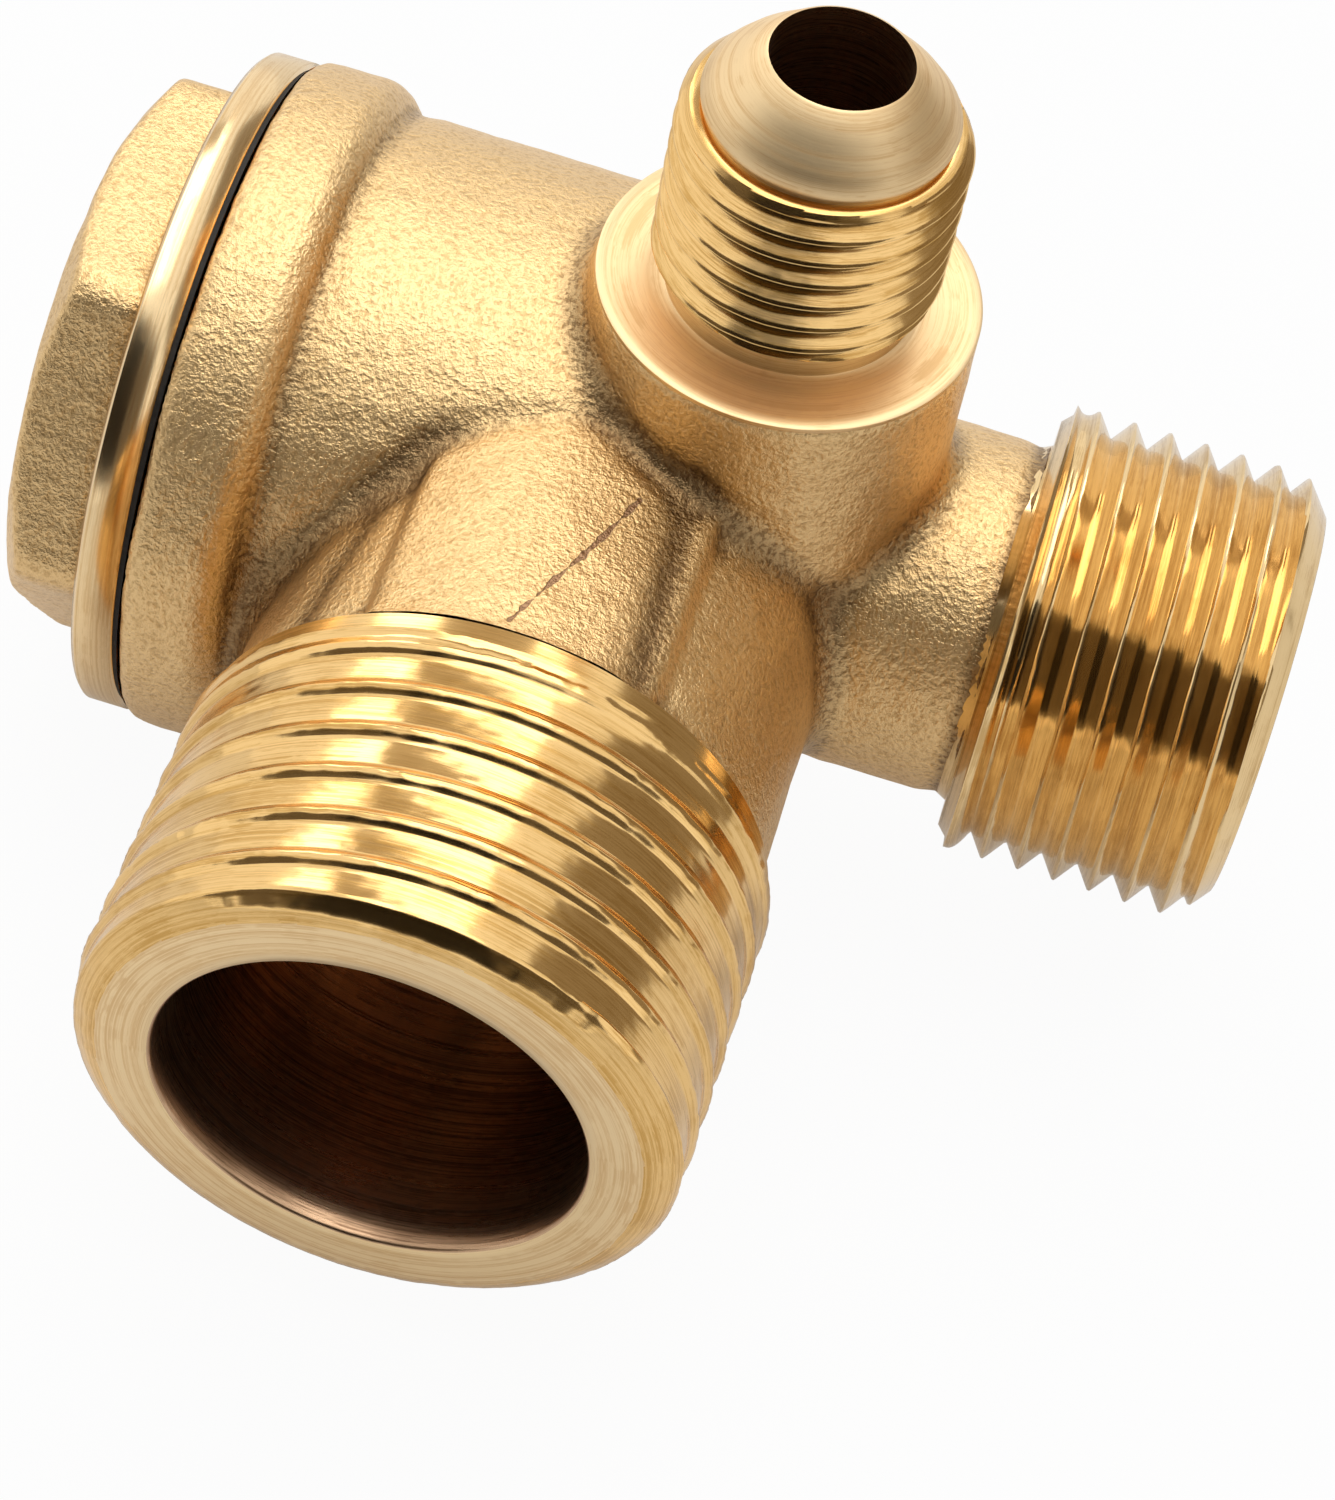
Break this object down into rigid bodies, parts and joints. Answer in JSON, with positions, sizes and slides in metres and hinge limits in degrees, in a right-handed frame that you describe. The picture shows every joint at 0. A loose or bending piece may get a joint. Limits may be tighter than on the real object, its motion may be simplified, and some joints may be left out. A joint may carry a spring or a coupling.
{
  "type": "air compressor non-return valve",
  "caption": "Brass non-return valve for an air compressor, with a hexagon cap, a pump inlet, a tank outlet and a flared unloader port.",
  "frame": {"origin": "where the axis of the valve chamber meets the axis of the tank port, in the plane of the seat", "axes": "+X out of the inlet port, -X out of the hexagon cap, -Y out of the tank port, +Z out of the unloader port"},
  "size_m": [0.0445, 0.0407, 0.0362],
  "materials": {
    "cast_and_turned_brass": "sand cast, with turned ports",
    "gasket_fibre": "matt",
    "poppet_plastic": "moulded, satin",
    "seal_rubber": "matt",
    "spring_steel": "drawn wire"
  },
  "bodies": {
    "valve": {"valve_body": "cast_and_turned_brass", "hex_cap": "cast_and_turned_brass", "cap_gasket": "gasket_fibre", "return_spring": "spring_steel"},
    "poppet_and_seal": {"poppet": "poppet_plastic", "seal_disc": "seal_rubber"}
  },
  "joints": [
    {"name": "poppet_lift", "type": "slide", "parent": "valve", "child": "poppet_and_seal", "axis": [-1, 0, 0], "range_m": [0, 0.0044], "stiffness_N_per_m": 444, "springref_m": -0.003, "deforming": ["return_spring"]}
  ]
}
